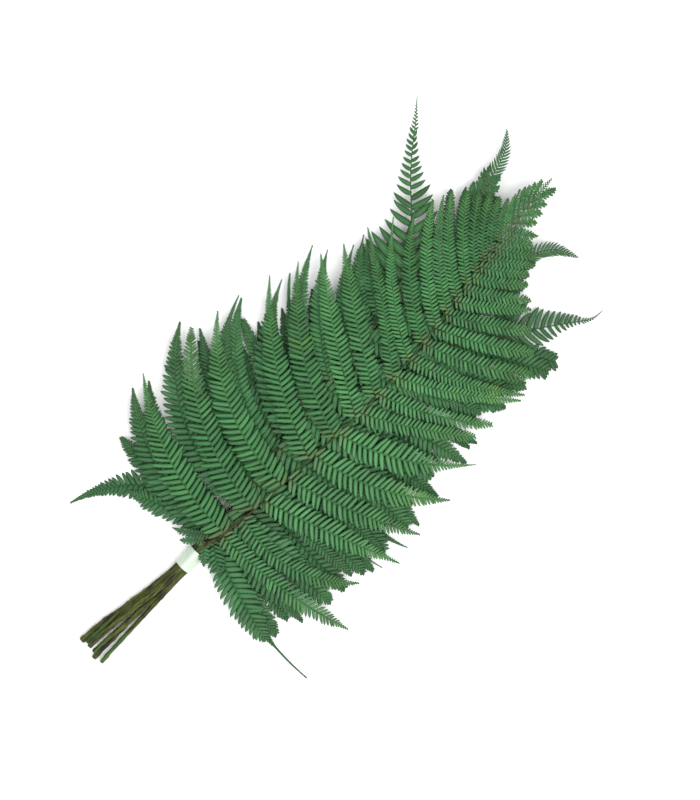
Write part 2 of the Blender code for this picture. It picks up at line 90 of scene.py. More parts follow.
# Layer, stem place, stem end, rachis, and pinnae as (x on the rachis, tip x, tip y, bow, thin):
# thin 1 draws the end out, -1 keeps it blunt. leaf_left and leaf_right are single leaflets near
# the leaf tip. tip: first x, first and last pitch, lean, reach to the left and to the right at
# 0, 1/4, 1/2, 3/4 and 1 of the rest.
FRONDS = {
    "frond_1": {
        "level": 5, "place": "top", "end": (-120, 11.2, 10.6), "bow": 0.075,
        "rachis": [(60, -9), (90, -13), (130, -15), (190, -20), (260, -20), (310, -15),
            (350, -10), (400, -4), (450, 0), (479, 1)],
        "left": [(41, 94, 148, 0.09, 0.7), (75, 155, 145, 0.11, -0.4), (108, 182, 138, 0.12, 0.0),
            (142, 239, 127, 0.07, 0.6), (172, 265, 116, 0.08, 0.4), (198, 284, 106, 0.02, 0.0),
            (223, 305, 97, 0.02, 0.0), (246, 331, 92, -0.015, 0.2), (268, 355, 82, 0.06, 0.8),
            (289, 373, 72, 0.07, 0.4), (308, 390, 66, 0.06, -0.6), (325, 400, 62, 0.06, -0.3),
            (341, 409, 60, 0.06, -0.5), (355, 417, 48, 0.05, -0.7), (368, 423, 39, 0.05, -0.7),
            (380, 429, 31, 0.05, -0.8), (392, 433, 23, 0.05, -0.8), (403, 438, 17, 0.05, -0.8),
            (413, 445, 15, 0.05, -0.8), (422, 451, 15, 0.05, -0.8), (430, 456, 13, 0.05, -0.8),
            (438, 460, 11, 0.05, -0.8), (445, 465, 9, 0.05, -0.8), (452, 470, 6, 0.05, -0.8)],
        "right": [(38, 54, -148, 0.045, 0.1), (62, 92, -127, 0.15, 0.5),
            (87, 130, -141, 0.01, 0.4), (116, 162, -137, 0.03, 0.3), (148, 203, -134, 0.08, 0.3),
            (177, 243, -129, 0.08, 0.9), (204, 261, -111, 0.03, -0.9),
            (228, 279, -114, 0.05, -0.8), (250, 313, -118, 0.04, -0.8),
            (270, 319, -117, 0.05, -0.9), (289, 337, -109, 0.05, -0.8),
            (306, 352, -96, 0.03, -0.6), (322, 365, -80, 0.03, -0.6), (336, 379, -67, 0.03, -0.8),
            (350, 385, -61, 0.03, -0.9), (363, 393, -49, 0.03, -0.9), (375, 401, -44, 0.03, -0.9),
            (386, 409, -41, 0.03, -0.8), (397, 416, -36, 0.03, -0.8), (407, 422, -28, 0.03, -0.8),
            (416, 432, -26, 0.03, 0.2), (425, 439, -15, 0.03, -0.8), (433, 449, -13, 0.03, -0.8),
            (441, 458, -10, 0.03, -0.8), (448, 474, -7, 0.03, 0.0)],
        "tip": (459, 3.2, 2.2, 34, (4.5, 3.2, 2, 1.2, 0.4), (4, 3, 2, 1.2, 0.4)),
    },
    "frond_2": {
        "level": 4, "place": "middle_left", "end": (-119, 15.8, 6.2), "bow": 0.07,
        "rachis": [(60, 4), (110, 10), (200, 20), (280, 28), (325, 38), (350, 56), (370, 74),
            (390, 94), (410, 111), (430, 126), (449, 142)],
        "left": [(22, 7, 19, 0.0, 0.2), (30, 11, 31, 0.06, 0.3), (39, 78, 146, 0.12, 0.2),
            (72, 151, 156, 0.15, 0.1), (110, 206, 134, 0.17, 1.0), (146, 244, 116, 0.11, 0.6),
            (178, 285, 117, 0.08, 0.0), (206, 291, 104, 0.07, 0.0), (233, 311, 90, 0.07, 0.2),
            (258, 324, 90, 0.05, -0.3), (281, 322, 84, 0.05, -0.5)],
        "right": [(21, 5, -14, 0.0, 0.2), (52, 70, -95), (92, 110, -88), (130, 152, -82),
            (166, 190, -74), (198, 226, -64), (228, 258, -52), (256, 288, -40), (283, 316, -26),
            (307, 346, -14)],
        "leaf_left": [(321, 324, 87), (329, 332, 87), (338, 340, 85), (349, 348, 86),
            (360, 358, 89), (367, 366, 92), (372, 371, 97), (380, 378, 100), (386, 384, 104),
            (391, 390, 107), (396, 395, 110), (401, 400, 113), (406, 405, 116), (410, 410, 119),
            (414, 414, 122), (418, 419, 124), (422, 424, 127)],
        "leaf_right": [(318, 352, 38), (333, 367, 42), (345, 378, 49), (355, 386, 57),
            (365, 391, 66), (371, 394, 70), (377, 399, 78), (384, 399, 84), (389, 403, 90),
            (394, 406, 95), (398, 408, 99), (402, 411, 103), (407, 415, 108), (411, 419, 113),
            (416, 422, 117), (420, 426, 121)],
        "tip": (425, 3.8, 2.4, 45, (3.8, 2.8, 1.8, 0.9, 0.2), (3.4, 2.2, 1.2, 0.6, 0.2)),
    },
    "frond_3": {
        "level": 3, "place": "middle_right", "end": (-121, 5.4, 8.4), "bow": 0.07,
        "rachis": [(60, 0), (110, 2), (200, 5), (300, 9), (365, 15), (405, 27), (435, 40),
            (465, 48), (484, 62)],
        "left": [(45, 93, 140, 0.12, 0.2), (84, 159, 139, 0.03, 0.0), (120, 206, 131, 0.13, 0.4),
            (156, 219, 101, 0.07, 0.0), (190, 253, 115, 0.11, 0.9), (220, 270, 70, 0.06, 0.0),
            (248, 318, 85, 0.07, -0.2), (275, 342, 72, 0.06, 0.0), (301, 362, 66, 0.06, -0.2),
            (325, 380, 62, 0.06, -0.4), (342, 389, 65, 0.05, -0.2), (358, 408, 60, 0.03, -0.6),
            (371, 419, 52, 0.04, -0.6), (383, 428, 50, 0.04, -0.8), (395, 439, 48, 0.04, -0.7),
            (406, 448, 49, 0.04, -0.7)],
        "right": [(30, 8, -31, 0.03, 0.2), (54, 37, -109, 0.08, 0.0), (88, 92, -117, 0.0, -0.5),
            (100, 116, -133, 0.03, 1.0), (124, 127, -122, 0.0, -0.6), (152, 160, -124, 0.0, -0.6),
            (178, 204, -98), (206, 240, -90), (236, 274, -84), (266, 306, -72), (294, 336, -58),
            (320, 362, -46), (344, 384, -30), (362, 400, -18), (378, 411, -6), (392, 421, 5),
            (404, 428, 15), (415, 434, 24), (425, 441, 31), (433, 448, 37)],
        "tip": (414, 5.0, 2.4, 42, (11, 9, 7, 4, 0.5), (10, 8, 7, 4, 0.5)),
    },
    "frond_4": {
        "level": 2, "place": "bottom_right", "end": (-124, -6.5, 2.6), "bow": 0.05,
        "rachis": [(60, -8), (110, -18), (200, -26), (300, -31), (380, -32), (416, -34),
            (433, -44), (440, -55), (444, -67)],
        "left": [(30, 37, 122, 0.0, -0.2), (84, 118, 112), (120, 164, 108),
            (154, 192, 117, 0.05, -0.4), (188, 230, 95), (218, 262, 80), (246, 290, 64),
            (274, 316, 48), (300, 344, 34), (322, 366, 18), (342, 386, 6), (360, 398, -6),
            (376, 410, -15), (390, 419, -24)],
        "right": [(27, -5, -101, 0.03, -0.4), (70, 61, -119, 0.05, -0.5),
            (104, 101, -124, 0.0, -0.4), (130, 129, -123, 0.0, -0.8), (167, 167, -131, 0.0, 0.1),
            (196, 207, -107, 0.0, -0.6), (218, 238, -123, 0.0, 0.0), (256, 280, -100, 0.0, -0.2),
            (281, 312, -106, 0.0, -0.4), (304, 350, -117, 0.0, -0.7), (326, 358, -64, 0.03, -0.3),
            (345, 376, -55, 0.03, -0.5), (362, 389, -48, 0.03, -0.6), (378, 401, -43, 0.03, -0.7),
            (391, 412, -39, 0.03, -0.7)],
        "tip": (402, 4.0, 2.4, 42, (8, 8, 6, 3, 0.4), (8, 8, 7, 4, 0.4)),
    },
    "frond_5": {
        "level": 1, "place": "bottom", "end": (-126, 1.2, 2.4), "bow": 0.05,
        "rachis": [(60, -2), (110, -18), (200, -38), (300, -52), (348, -68), (377, -88),
            (405, -109), (412, -114), (425, -116)],
        "left": [(34, 6, 84, -0.02, 0.2), (50, 54, 122, 0.03, -0.2), (74, 90, 110),
            (96, 150, 133, 0.05, 0.0), (132, 158, 82), (168, 200, 72), (202, 238, 58),
            (234, 272, 42), (264, 304, 24), (292, 334, 8), (318, 360, -8),
            (330, 367, -49, 0.03, -0.3), (340, 377, -55, 0.03, -0.3)],
        "right": [(42, 5, -105, 0.05, -0.6), (58, 30, -114, 0.06, -0.2),
            (88, 78, -122, 0.03, -0.4), (122, 108, -128, 0.02, -0.2), (146, 145, -137, 0.1, 1.2),
            (172, 176, -112, 0.0, -0.3), (188, 197, -125, 0.0, -0.3), (216, 232, -96, 0.0, -0.3),
            (232, 258, -117, 0.0, 0.2), (254, 299, -112, 0.0, -0.4), (281, 326, -112, 0.0, -0.6),
            (313, 361, -117, -0.03, -0.7)],
        "leaf_left": [(346, 384, -62), (356, 378, -70), (364, 387, -72), (370, 389, -76),
            (375, 392, -81), (380, 395, -85), (385, 398, -89), (388, 400, -93), (392, 402, -96),
            (395, 404, -99), (399, 406, -102), (402, 407, -105)],
        "leaf_right": [(344, 346, -92), (350, 352, -94), (356, 358, -97), (362, 365, -99),
            (368, 371, -101), (374, 375, -102), (380, 379, -103), (385, 384, -103),
            (389, 389, -105), (393, 392, -105), (396, 395, -107), (399, 398, -108),
            (402, 401, -110)],
        "tip": (404, 2.6, 2.4, 45, (3.0, 1.8, 1.0, 0.5, 0.2), (3.0, 1.8, 1.0, 0.5, 0.2)),
    },
    "frond_6": {
        "level": 0, "place": "bottom_left", "end": (-122, 20.0, 3.0), "bow": 0.06,
        "rachis": [(60, 5), (110, 8), (200, 8), (290, 2), (350, -10), (372, -16)],
        "left": [(38, -40, 115, -0.2, 0.7), (84, 112, 118), (118, 146, 118),
            (138, 176, 110, 0.05, -0.3), (158, 200, 105, 0.06, 0.0), (188, 224, 98),
            (219, 256, 90), (248, 288, 78), (275, 312, 66)],
        "right": [(40, -5, -154, 0.09, 1.8), (56, 22, -102, 0.05, -0.5), (74, 64, -108),
            (104, 100, -115), (141, 146, -110), (176, 188, -108), (194, 209, -110, 0.0, -0.4),
            (206, 222, -108, 0.0, -0.3), (218, 234, -106), (230, 250, -115, 0.0, -0.5),
            (246, 272, -108, 0.0, -0.4), (268, 296, -90)],
        "tip": (292, 10.0, 3.0, 45, (30, 22, 15, 8, 0.4), (30, 22, 15, 8, 0.4)),
    },
}

# How the leaflets of the top frond and of the fronds under it are made. fill: width to spacing,
# broad: widest reach to the pinna's length, crown: height of a leaflet's back to its half width,
# roll and twist: slopes along and across a leaflet, root_z: rise at the rachis.
TOP = {"fill": 0.74, "broad": 0.42, "crown": 0.30, "rows": 6, "roll": 0.07, "twist": 0.12,
       "root_z": 0.5, "warm": 0.35}
UNDER = {"fill": 0.92, "broad": 0.42, "crown": 0.20, "rows": 5, "roll": 0.035, "twist": 0.04,
         "root_z": 0.2, "warm": 0.2}

# Per frond. shade: painted shade, deeper the further the frond lies under the others, toothed:
# pinnae right up to the tip, dyed: green at the stem's end, stem_r: radius there, simple and end:
# widths of the single leaflets near the tip and in it.
LOOKS = {
    "frond_1": dict(TOP, tone=0.62, shade=0.0, toothed=False, dyed=0.3, stem_r=2.3,
                    outline=DRAWN_OUT, simple=1.0, end=0.8),
    "frond_2": dict(UNDER, tone=0.50, shade=0.40, toothed=False, dyed=0.9, stem_r=2.35,
                    outline=DRAWN_OUT, simple=1.0, end=0.74),
    "frond_3": dict(UNDER, tone=0.52, shade=0.48, toothed=True, dyed=0.6, stem_r=1.9,
                    outline=DRAWN_OUT, simple=1.0, end=0.95),
    "frond_4": dict(UNDER, tone=0.50, shade=0.55, toothed=True, dyed=0.9, stem_r=1.85,
                    outline=DRAWN_OUT, simple=1.0, end=1.0),
    "frond_5": dict(UNDER, tone=0.46, shade=0.62, toothed=False, dyed=0.7, stem_r=2.2,
                    outline=STRAP, simple=0.85, end=0.74),
    "frond_6": dict(UNDER, tone=0.44, shade=0.70, toothed=True, dyed=0.2, stem_r=2.75,
                    outline=DRAWN_OUT, simple=1.0, end=0.74),
}


# Layout, as in the CAD

def smooth(t):
    t = np.clip(t, 0.0, 1.0)
    return t * t * (3.0 - 2.0 * t)


def layer_z(x, y, level):
    """Height of a layer's blades: stacked over the stems, close together at the margins."""
    heap = np.exp(-(((y + 3.0) / 52.0) ** 2))
    along = smooth((x - LAYERED_X) / 380.0)
    pitch = 1.95 + (2.2 - 1.5 * along) * heap
    across = np.minimum(np.abs(y - 8.0) / 88.0, 1.0)
    return 0.4 + 2.0 * (1.0 - across * across) ** 1.5 + level * pitch


def height(x, y, level):
    """A layer's height, let down towards the tie as the stems draw together."""
    heap = np.exp(-(((y + 3.0) / 52.0) ** 2))
    return layer_z(x, y, level) - 1.52 * level * heap * (1.0 - smooth((x - 8.0) / 36.0))


def tie_place(place):
    across, row = TIE_Y[place]
    return (across * STEM_PITCH,
            STEM_R + TIE_GAP + TIE_WALL + row * STEM_PITCH * math.sqrt(3.0) / 2.0)


def through(points, x):
    """Y of the rachis at x, by a smooth curve through its points."""
    xs = [p[0] for p in points]
    k = max(0, min(len(xs) - 2, int(np.searchsorted(xs, x)) - 1))
    slope = []
    for i in (k, k + 1):
        a, b = max(i - 1, 0), min(i + 1, len(xs) - 1)
        slope.append((points[b][1] - points[a][1]) / (xs[b] - xs[a]))
    h = xs[k + 1] - xs[k]
    t = (x - xs[k]) / h
    return ((2 * t**3 - 3 * t**2 + 1) * points[k][1] + (t**3 - 2 * t**2 + t) * h * slope[0]
            + (3 * t**2 - 2 * t**3) * points[k + 1][1] + (t**3 - t**2) * h * slope[1])


def stalk_y(spec, path, x):
    """Y of the stalk or rachis at x."""
    if x >= LAYERED_X:
        return through(path, x)
    start = TIE_LENGTH / 2.0 + 2.0
    ty = tie_place(spec["place"])[0]
    return ty + (path[0][1] - ty) * float(smooth((x - start) / (LAYERED_X - start)))


def rachis_path(spec):
    lead = [(LAYERED_X - 20, spec["rachis"][0][1] * 0.5)] + spec["rachis"]
    return [(LAYERED_X, through(lead, LAYERED_X))] + spec["rachis"]


def evenly(points, count):
    line = np.array(points, float)
    run = np.concatenate(([0.0], np.cumsum(np.linalg.norm(np.diff(line, axis=0), axis=1))))
    steps = np.linspace(0.0, run[-1], count)
    return np.column_stack([np.interp(steps, run, line[:, i]) for i in range(line.shape[1])])


def bowed(start, tip, bow, side):
    """Costa from the rachis to the pinna's tip, bowed towards the stem end."""
    s, t = np.array(start, float), np.array(tip, float)
    run = t - s
    mid = (s + t) / 2.0 + np.array((-run[1], run[0])) * side * bow * 2.0
    u = np.linspace(0.0, 1.0, 41)[:, None]
    return evenly((1 - u) ** 2 * s + 2 * u * (1 - u) * mid + u**2 * t, 61)


def length_of(line):
    return float(np.sum(np.linalg.norm(np.diff(line, axis=0), axis=1)))


def on_line(line, t):
    """Points and headings of an evenly spaced line at shares t of its length."""
    f = np.clip(t, 0.0, 1.0) * (len(line) - 1)
    k = np.minimum(f.astype(int), len(line) - 2)
    share = (f - k)[:, None]
    spots = line[k] * (1 - share) + line[k + 1] * share
    slopes = np.gradient(line, axis=0)
    way = slopes[k] * (1 - share) + slopes[k + 1] * share
    return spots, np.arctan2(way[:, 1], way[:, 0])


# Mesh gathering

LEAF, STALK = 0, 1        # material slots


class Bag:
    """Closed shells that together become one mesh."""

    def __init__(self):
        self.spots, self.uv, self.tint = [], [], []
        self.faces, self.smooth, self.kind = [], [], []
        self.count = 0

    def add(self, spots, uv, tint, faces, smooth_faces, kind):
        """spots (shells, points, 3); the faces are of one shell, and are repeated for all."""
        shells, points = spots.shape[:2]
        self.spots.append(spots.reshape(-1, 3))
        self.uv.append(np.broadcast_to(uv, (shells, points, 2)).reshape(-1, 2))
        self.tint.append(np.broadcast_to(tint, (shells, points, 4)).reshape(-1, 4))
        first = self.count + np.arange(shells) * points
        for face, is_smooth in zip(faces, smooth_faces):
            self.faces += (first[:, None] + np.array(face)[None, :]).tolist()
            self.smooth += [is_smooth] * shells
            self.kind += [kind] * shells
        self.count += shells * points

    def piece(self, name, materials):
        mesh = bpy.data.meshes.new(name)
        spots = np.concatenate(self.spots) * MM
        mesh.from_pydata(spots.tolist(), [], self.faces)
        mesh.polygons.foreach_set("use_smooth", self.smooth)
        mesh.polygons.foreach_set("material_index", self.kind)
        corners = np.zeros(len(mesh.loops), np.int32)
        mesh.loops.foreach_get("vertex_index", corners)
        layer = mesh.uv_layers.new(name="leaf")
        layer.data.foreach_set("uv", np.concatenate(self.uv)[corners].astype(np.float32).ravel())
        tint = mesh.color_attributes.new("tint", "FLOAT_COLOR", "POINT")
        tint.data.foreach_set("color", np.concatenate(self.tint).astype(np.float32).ravel())
        for one in materials:
            mesh.materials.append(one)
        mesh.update()
        made = bpy.data.objects.new(name, mesh)
        bpy.context.scene.collection.objects.link(made)
        return made


def lens_faces(rows, cols):
    """A leaflet: rows of points across its back, one tip point, a flat underside, a root cap."""
    top, flat = [], []
    tip, last = rows * cols, (rows - 1) * cols
    for r in range(rows - 1):
        for c in range(cols - 1):
            a = r * cols + c
            top.append((a, a + 1, a + cols + 1, a + cols))
        a = r * cols
        flat.append((a, a + cols, a + 2 * cols - 1, a + cols - 1))
    for c in range(cols - 1):
        top.append((last + c, last + c + 1, tip))
    flat.append((last, tip, last + cols - 1))
    flat.append(tuple(range(cols - 1, -1, -1)))
    return top + flat, [True] * len(top) + [False] * len(flat)


def tube_faces(rings, sides):
    faces = []
    for r in range(rings - 1):
        for c in range(sides):
            d = (c + 1) % sides
            faces.append((r * sides + c, r * sides + d, (r + 1) * sides + d, (r + 1) * sides + c))
    caps = [tuple(range(sides - 1, -1, -1)), tuple((rings - 1) * sides + c for c in range(sides))]
    return faces + caps, [True] * len(faces) + [False, False]


def tube(bag, line, radius, sides, tint, ridges=0.0):
    """A round rod along a 3-D line; radius and tint are given for each of its points."""
    count = len(line)
    way = np.gradient(line, axis=0)
    way /= np.linalg.norm(way, axis=1)[:, None]
    across = np.cross(np.array((0.0, 0.0, 1.0)), way)
    across /= np.linalg.norm(across, axis=1)[:, None]
    above = np.cross(way, across)
    a = np.arange(sides) * 2.0 * math.pi / sides
    girth = 1.0 + ridges * np.cos(a * 5.0 + 0.6)
    spots = (line[:, None, :]
             + across[:, None, :] * (np.cos(a) * girth)[None, :, None] * radius[:, None, None]
             + above[:, None, :] * (np.sin(a) * girth)[None, :, None] * radius[:, None, None])
    run = np.concatenate(([0.0], np.cumsum(np.linalg.norm(np.diff(line, axis=0), axis=1))))
    uv = np.zeros((count, sides, 2))
    uv[:, :, 0] = np.abs(np.linspace(-1, 1, sides, endpoint=False))[None, :]
    uv[:, :, 1] = run[:, None] * 0.05
    tints = np.broadcast_to(np.asarray(tint)[:, None, :], (count, sides, 4))
    faces, is_smooth = tube_faces(count, sides)
    bag.add(spots.reshape(1, -1, 3), uv.reshape(1, -1, 2), tints.reshape(1, -1, 4), faces,
            is_smooth, STALK)


def leaflets(bag, level, root, angle, size, width, bend, z0, rise, twist, droop, tint, rows,
             crown, outline=STRAP):
    """Leaflets, one for each root: they bend by an angle, their backs are domed, and rise is
    their slope away from the costa."""
    n, cols = len(root), len(ACROSS)
    t = np.linspace(0.0, 1.0, rows + 1)
    t = 1.0 - (1.0 - t) ** 1.25
    half_way = (t[1:] + t[:-1]) / 2.0
    turn = angle[:, None] + bend[:, None] * half_way[None, :] ** 1.3
    step = size[:, None] * np.diff(t)[None, :]
    cx = root[:, 0:1] + np.concatenate((np.zeros((n, 1)), np.cumsum(np.cos(turn) * step, 1)), 1)
    cy = root[:, 1:2] + np.concatenate((np.zeros((n, 1)), np.cumsum(np.sin(turn) * step, 1)), 1)
    face = angle[:, None] + bend[:, None] * t[None, :] ** 1.3
    half = width[:, None] / 2.0 * np.interp(t, *outline)[None, :]
    h = half[:, :rows, None]
    x = cx[:, :rows, None] - np.sin(face[:, :rows, None]) * h * ACROSS
    y = cy[:, :rows, None] + np.cos(face[:, :rows, None]) * h * ACROSS
    far = size[:, None] * t[None, :]
    lift = z0[:, None] + rise[:, None] * far - droop[:, None] * t[None, :] ** 2
    z = lift[:, :rows, None] + twist[:, None, None] * h * ACROSS + crown * h * DOME
    x = np.concatenate((x.reshape(n, -1), cx[:, rows:]), 1)
    y = np.concatenate((y.reshape(n, -1), cy[:, rows:]), 1)
    z = np.concatenate((z.reshape(n, -1), lift[:, rows:]), 1) + height(x, y, level)
    uv = np.zeros((rows * cols + 1, 2))
    uv[:-1, 0] = np.tile((ACROSS + 1.0) / 2.0, rows)
    uv[:-1, 1] = np.repeat(t[:rows], cols)
    uv[-1] = (0.5, 1.0)
    tints = np.repeat(tint[:, None, :], rows * cols + 1, axis=1)
    faces, is_smooth = lens_faces(rows, cols)
    bag.add(np.stack((x, y, z), 2), uv, tints, faces, is_smooth, LEAF)


# Pinnae

def half_width(t, thin):
    other = DRAWN if thin > 0 else BLUNT
    return np.interp(t, ALONG, np.maximum(EVEN + (other - EVEN) * abs(thin), 0.03))


def aged(spots):
    share = np.zeros(len(spots))
    for x, y, size, most in AGED:
        gap = np.hypot(spots[:, 0] - x, spots[:, 1] - y) / size
        share += most * np.exp(-(gap**2))
    return share


def nearest(spots, lines):
    best = np.full(len(spots), 1e9)
    for line in lines:
        gap = np.linalg.norm(line[None, :, :] - spots[:, None, :], axis=2).min(axis=1)
        best = np.minimum(best, gap)
    return best


def neighbours(lines, i):
    return [lines[j] for j in (i - 1, i + 1) if 0 <= j < len(lines)]


def spacing(reach):
    return LEAFLET_PITCH * (1.75 + 0.215 * np.minimum(reach, 15.5))


class Costa:
    """A pinna's line, with the level, tone and look that all its parts share."""

    def __init__(self, level, line, tone, look):
        self.level, self.line, self.tone, self.look = level, line, tone, look
        self.size = length_of(line)
        self.top = level == TOP_LEVEL
        self.arch = TOP_ARCH * min(self.size / 150.0, 1.0) if self.top else UNDER_ARCH

    def lift(self, t):
        """Height above the layer at share t: an arch, and a rise at the rachis."""
        return (self.arch * np.sin(np.pi * np.clip(t, 0, 1) ** 0.8)
                + self.look["root_z"] * (1.0 - smooth(t * self.size / 7.0)))

    def stations(self, beside, thin):
        """Distances of the leaflets from the rachis, and how far each reaches sideways. They
        are closer together where the pinna is narrow."""
        spots = []
        run = min(FIRST_LEAFLET, 0.5 + 0.05 * self.size)
        while run < self.size * 0.992:
            at, _ = on_line(self.line, np.array((run / self.size,)))
            room = nearest(at, beside)[0] if beside else 2.0 * LEAFLET_REACH
            room *= 0.53 + 0.24 * min(max((16.0 - room) / 10.0, 0.0), 1.0)
            reach = min(LEAFLET_REACH, room, self.look["broad"] * self.size)
            reach *= half_width(run / self.size, thin)
            spots.append((run, max(reach, 0.8)))
            run += spacing(reach)
        return np.array(spots).T

    def leaflet_tint(self, t, root, rng):
        n = len(t)
        tint = np.zeros((n, 4))
        tint[:, 0] = 0.35 * smooth((BROWN_X + 3 * rng.random(n) - t * self.size) / 12.0)
        # painted shade: tone falls towards each pinna's end, darkening the open edges that catch
        # more light; past x 350, towards the frond's end, it is lower too
        tint[:, 1] = np.clip(self.tone + rng.normal(0, 0.09, n) - 0.05 * t - 0.32 * t**2.5
                             - 0.16 * smooth((root[:, 0] - 350.0) / 60.0), 0, 1)
        warm = self.look["warm"] * smooth((t - 0.45) / 0.5) + rng.normal(0, 0.03, n)
        tint[:, 2] = np.clip(warm, 0, 1) * 0.5
        if self.top:
            tint[:, 2] = np.clip(tint[:, 2] + aged(root) * rng.uniform(0.5, 1.2, n), 0, 1)
        # alpha: painted shade for lying under the other fronds
        tint[:, 3] = self.look["shade"]
        return tint

    def add_leaflets(self, bag, side, beside, thin, draw):
        look, top = self.look, self.top
        run, reach = self.stations(beside, thin)
        n, t, pitch = len(run), run / self.size, spacing(reach)
        fill = look["fill"] + 0.20 * (1.0 - float(smooth((self.size - 20.0) / 60.0)))
        for s in (1, -1):
            basal = s == side
            shift = np.clip(t + (pitch / self.size) * (0.42 if basal else 0.0), 0, 0.995)
            root, way = on_line(self.line, shift)
            rng = np.random.default_rng(draw.randrange(1 << 30))
            lean = np.radians(74.0 - 24.0 * t**1.4 + rng.normal(0, 2.4, n))
            long = reach / np.sin(lean) * (1 + rng.normal(0, 0.05, n))
            angle = way + s * lean
            root = root - np.column_stack((np.cos(angle), np.sin(angle))) * 0.2
            bend = -s * np.radians(11.0 + rng.normal(0, 5, n)) * np.clip(long / 12.0, 0.4, 1.0)
            wide = pitch * (fill + rng.normal(0, 0.04, n))
            rise = np.full(n, look["roll"] if basal else -look["roll"])
            rise += rng.normal(0, 0.012 if top else 0.005, n)
            twist = s * look["twist"] + rng.normal(0, 0.07 if top else 0.03, n)
            droop = long * (0.05 if top else 0.01)
            tint = self.leaflet_tint(t, root, rng)
            leaflets(bag, self.level, root, angle, long, wide, bend, self.lift(shift) + 0.1,
                     rise, twist, droop, tint, look["rows"], look["crown"])

    def add_wing(self, bag):
        """The narrow blade that joins the leaflets' roots and runs out in the pinna's end."""
        count = max(8, int(self.size / 4.0))
        u = np.linspace(0.0, 1.0, count + 1)
        spots, way = on_line(self.line, u)
        half = np.interp(u, (0, 0.1, 0.6, 0.85, 0.95, 1.0), (0.6, 1.1, 1.1, 0.9, 0.6, 0.15))
        half *= min(1.0, 0.55 + self.size / 120.0)
        v = np.array((1.0, 0.0, -1.0))
        x = spots[:-1, 0:1] - np.sin(way[:-1, None]) * half[:-1, None] * v
        y = spots[:-1, 1:2] + np.cos(way[:-1, None]) * half[:-1, None] * v
        up = self.lift(u)[:-1, None] + 0.08 + np.array((0.0, 0.3, 0.0))
        x = np.append(x.ravel(), spots[-1, 0])
        y = np.append(y.ravel(), spots[-1, 1])
        z = np.append(up.ravel(), self.lift(u)[-1] + 0.08) + height(x, y, self.level)
        along = np.append(np.repeat(u[:-1], 3), 1.0) * self.size
        uv = np.zeros((len(x), 2))
        uv[:-1, 0] = np.tile((0.2, 0.5, 0.8), count)
        uv[:-1, 1] = along[:-1] * 0.1
        tint = np.zeros((len(x), 4))
        tint[:, 0] = 0.25 * smooth((BROWN_X - along) / 15.0)
        tint[:, 1] = self.tone + 0.08
        tint[:, 3] = self.look["shade"]
        faces, is_smooth = lens_faces(count, 3)
        bag.add(np.stack((x, y, z), 1)[None], uv, tint[None], faces, is_smooth, LEAF)

    def add_rod(self, bag):
        count = max(6, int(self.size / 7.0))
        u = np.linspace(0.0, 0.97, count)
        spots, _ = on_line(self.line, u)
        radius = 0.62 * (1 - u) ** 0.7 * min(1.0, 0.45 + self.size / 150.0) + 0.16
        z = height(spots[:, 0], spots[:, 1], self.level) + self.lift(u) + 0.08
        tint = np.zeros((count, 4))
        tint[:, 0] = smooth((BROWN_X + 10 - u * self.size) / 26.0)
        tint[:, 1] = self.tone - 0.1
        tint[:, 3] = self.look["shade"]
        tube(bag, np.column_stack((spots, z)), radius, 5, tint)


def pinna(bag, level, line, side, beside, thin, draw, look):
    """One pinna: leaflets on both sides, a narrow wing, and its costa."""
    costa = Costa(level, line, look["tone"] + draw.uniform(-0.18, 0.18), look)
    costa.add_leaflets(bag, side, beside, thin, draw)
    costa.add_wing(bag)
    costa.add_rod(bag)


# Ends of the fronds

def lay_leaflets(bag, level, root, tip, side, wide, draw, look):
    """Single leaflets from their roots to their tips, with a light bend."""
    n = len(root)
    rng = np.random.default_rng(draw.randrange(1 << 30))
    run = tip - root
    long = np.linalg.norm(run, axis=1)
    angle = np.arctan2(run[:, 1], run[:, 0]) + side * CURL / 2.0
    tint = np.zeros((n, 4))
    tint[:, 1] = np.clip(look["tone"] - 0.22 + rng.normal(0, 0.06, n), 0, 1)
    tint[:, 2] = look["warm"] * 0.4
    tint[:, 3] = look["shade"]
    leaflets(bag, level, root, angle, long * 1.01, wide, np.full(n, -side * CURL),
             np.full(n, 0.15), np.zeros(n), rng.normal(0, 0.06, n), long * 0.015, tint,
             8, 0.24, look["outline"])


def single_leaflets(bag, level, path, leaves, side, draw, look):
    root = np.array([(x, through(path, x)) for x, _, _ in leaves])
    tip = np.array([(x, y) for _, x, y in leaves], float)
    size = np.linalg.norm(tip - root, axis=1)
    lay_leaflets(bag, level, root, tip, side, (1.7 + 0.19 * size) * look["simple"], draw, look)


